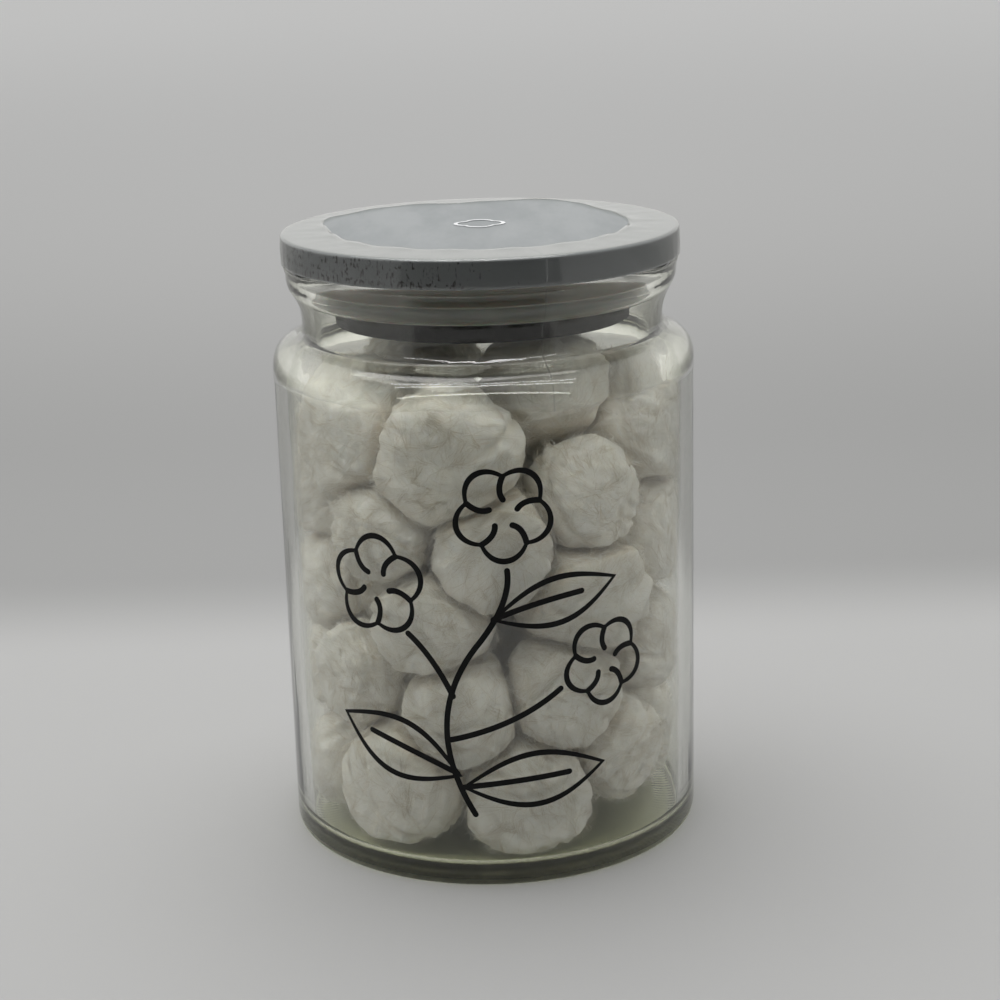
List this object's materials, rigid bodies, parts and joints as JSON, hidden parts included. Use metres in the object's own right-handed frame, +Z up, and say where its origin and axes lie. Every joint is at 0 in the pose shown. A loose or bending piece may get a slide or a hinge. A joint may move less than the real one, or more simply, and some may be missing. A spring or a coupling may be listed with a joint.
{
  "type": "apothecary jar",
  "caption": "Round clear glass jar with a painted wooden stopper lid, silicone seal, clear shrink band, black cotton sprig drawing and a filling of cotton balls.",
  "frame": {"origin": "middle of the jar's base ring, on the surface it stands on", "axes": "+Z up along the jar's axis; the sprig drawing faces -Y"},
  "size_m": [0.1044, 0.1044, 0.1519],
  "materials": {
    "glass": "clear pressed glass, faintly green where thick",
    "lid_paint": "satin grey paint over open-grained wood",
    "seal": "translucent grey silicone",
    "film": "clear glossy shrink film with fine wrinkles",
    "mark": "thin printed white line",
    "ink": "cut black adhesive film",
    "cotton": "soft fibrous cotton wool"
  },
  "bodies": {
    "jar": {"glass_jar": "glass", "neck_film": "film", "sprig_stem": "ink", "sprig_boll_1": "ink", "sprig_boll_2": "ink", "sprig_boll_3": "ink", "cotton_ball_01": "cotton", "cotton_ball_02": "cotton", "cotton_ball_03": "cotton", "cotton_ball_04": "cotton", "cotton_ball_05": "cotton", "cotton_ball_06": "cotton", "cotton_ball_07": "cotton", "cotton_ball_08": "cotton", "cotton_ball_09": "cotton", "cotton_ball_10": "cotton", "cotton_ball_11": "cotton", "cotton_ball_12": "cotton", "cotton_ball_13": "cotton", "cotton_ball_14": "cotton", "cotton_ball_15": "cotton", "cotton_ball_16": "cotton", "cotton_ball_17": "cotton", "cotton_ball_18": "cotton", "cotton_ball_19": "cotton", "cotton_ball_20": "cotton", "cotton_ball_21": "cotton", "cotton_ball_22": "cotton", "cotton_ball_23": "cotton", "cotton_ball_24": "cotton", "cotton_ball_25": "cotton", "cotton_ball_26": "cotton", "cotton_ball_27": "cotton", "cotton_ball_28": "cotton", "cotton_ball_29": "cotton", "cotton_ball_30": "cotton", "cotton_ball_31": "cotton", "cotton_ball_32": "cotton", "cotton_ball_33": "cotton", "cotton_ball_34": "cotton", "cotton_ball_35": "cotton", "cotton_ball_36": "cotton", "cotton_ball_37": "cotton", "cotton_ball_38": "cotton", "cotton_ball_39": "cotton", "cotton_ball_40": "cotton", "cotton_ball_41": "cotton"},
    "seal": {"seal_ring": "seal"},
    "lid": {"lid_board": "lid_paint", "lid_plug": "lid_paint", "lid_film": "film", "lid_mark": "mark"}
  },
  "joints": [
    {"name": "lid_lift", "type": "slide", "parent": "jar", "child": "seal", "axis": [0, 0, 1], "range_m": [0, 0.06]},
    {"name": "lid_turn", "type": "hinge", "parent": "seal", "child": "lid", "pos_m": [0, 0, 0.1446], "axis": [0, 0, 1], "continuous": true}
  ]
}
